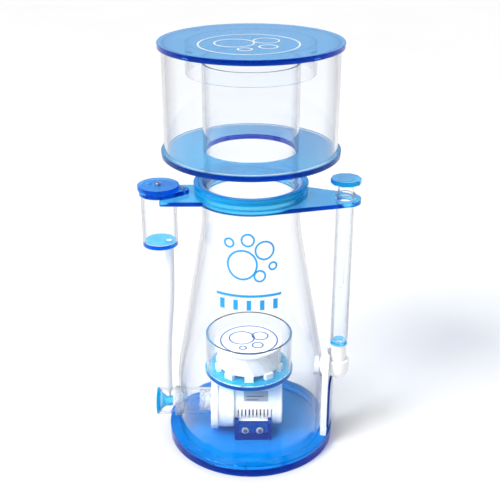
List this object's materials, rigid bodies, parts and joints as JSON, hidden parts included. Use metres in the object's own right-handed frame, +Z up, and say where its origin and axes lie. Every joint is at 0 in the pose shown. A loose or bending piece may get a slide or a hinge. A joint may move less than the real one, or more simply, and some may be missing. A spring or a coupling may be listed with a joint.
{
  "type": "protein skimmer",
  "caption": "Free-standing cone protein skimmer: needle-wheel pump and bubble plate in a clear cone, lift-off foam cup with lid, air silencer and water-level pipe on a blue collar.",
  "frame": {"origin": "centre of the base plate's underside, on the axis of the cone and cup", "axes": "+Z up along the cone's axis, -Y the front, air silencer on -X, water-level pipe on +X"},
  "size_m": [0.3119, 0.2532, 0.61],
  "materials": {
    "blue_acrylic": "polished, tinted transparent blue with deeper blue edges",
    "clear_acrylic": "polished, colourless transparent",
    "white_plastic": "moulded, semi-gloss white",
    "steel": "stainless, bright",
    "seal_rubber": "translucent silicone, satin",
    "hose_silicone": "milky translucent silicone",
    "dark_plastic": "matt",
    "ceramic": "ground ceramic",
    "magnet": "moulded-over ferrite, satin black",
    "motor_core": "potted laminations and windings",
    "grey_label": "printed film, blank"
  },
  "bodies": {
    "stand": {"air_hose": "hose_silicone", "base_plate": "blue_acrylic", "body_flange": "blue_acrylic", "bracket_plate": "blue_acrylic", "bracket_screws": "steel", "bracket_washers": "white_plastic", "bubble_plate": "blue_acrylic", "bubble_ring": "clear_acrylic", "bubble_ring_pins": "dark_plastic", "cable_gland": "white_plastic", "collar_lower_ring": "blue_acrylic", "collar_seal": "seal_rubber", "collar_upper_ring": "blue_acrylic", "cone_body": "clear_acrylic", "cover_screws": "steel", "cover_seal": "seal_rubber", "diffuser_drum": "white_plastic", "diffuser_top": "white_plastic", "ear_screw": "steel", "intake_barb": "white_plastic", "intake_bell": "blue_acrylic", "intake_coupling": "white_plastic", "intake_grommet": "seal_rubber", "intake_pipe": "clear_acrylic", "motor_body": "white_plastic", "motor_end_cap": "white_plastic", "outlet_backing_plate": "blue_acrylic", "outlet_elbow": "white_plastic", "outlet_neck": "white_plastic", "outlet_port": "clear_acrylic", "outlet_post": "white_plastic", "pump_cover": "white_plastic", "pump_front_plate": "blue_acrylic", "pump_nozzle": "white_plastic", "pump_shelf": "blue_acrylic", "pump_volute": "white_plastic", "rating_plate": "grey_label", "rotor_shaft": "ceramic", "shaft_bushes": "ceramic", "silencer_barb": "white_plastic", "silencer_cap": "blue_acrylic", "silencer_floor": "blue_acrylic", "silencer_tube": "clear_acrylic", "standpipe": "clear_acrylic", "standpipe_end_ring": "blue_acrylic", "standpipe_guide_ring": "clear_acrylic", "stator_core": "motor_core", "valve_pivot_screw": "steel", "valve_washer": "seal_rubber"},
    "cup": {"cup_floor": "blue_acrylic", "cup_wall": "clear_acrylic", "riser_tube": "clear_acrylic"},
    "lid": {"lid": "blue_acrylic", "splash_ring": "clear_acrylic"},
    "level": {"level_pipe": "clear_acrylic", "level_knob": "blue_acrylic"},
    "air_valve": {"air_valve_disc": "blue_acrylic"},
    "rotor": {"needle_wheel": "white_plastic", "rotor_magnet": "magnet"}
  },
  "joints": [
    {"name": "cup_lift", "type": "slide", "parent": "stand", "child": "cup", "axis": [0, 0, 1], "range_m": [0, 0.1]},
    {"name": "lid_lift", "type": "slide", "parent": "cup", "child": "lid", "axis": [0, 0, 1], "range_m": [0, 0.08]},
    {"name": "level_turn", "type": "hinge", "parent": "stand", "child": "level", "pos_m": [0.13062, -0.0261, 0.424], "axis": [0, 0, 1], "range_deg": [0, 180]},
    {"name": "air_valve_turn", "type": "hinge", "parent": "stand", "child": "air_valve", "pos_m": [-0.1298, -0.0088, 0.408], "axis": [0, 0, 1], "range_deg": [0, 120]},
    {"name": "impeller_spin", "type": "hinge", "parent": "stand", "child": "rotor", "pos_m": [0, -0.012, 0.057], "axis": [1, 0, 0], "continuous": true}
  ]
}
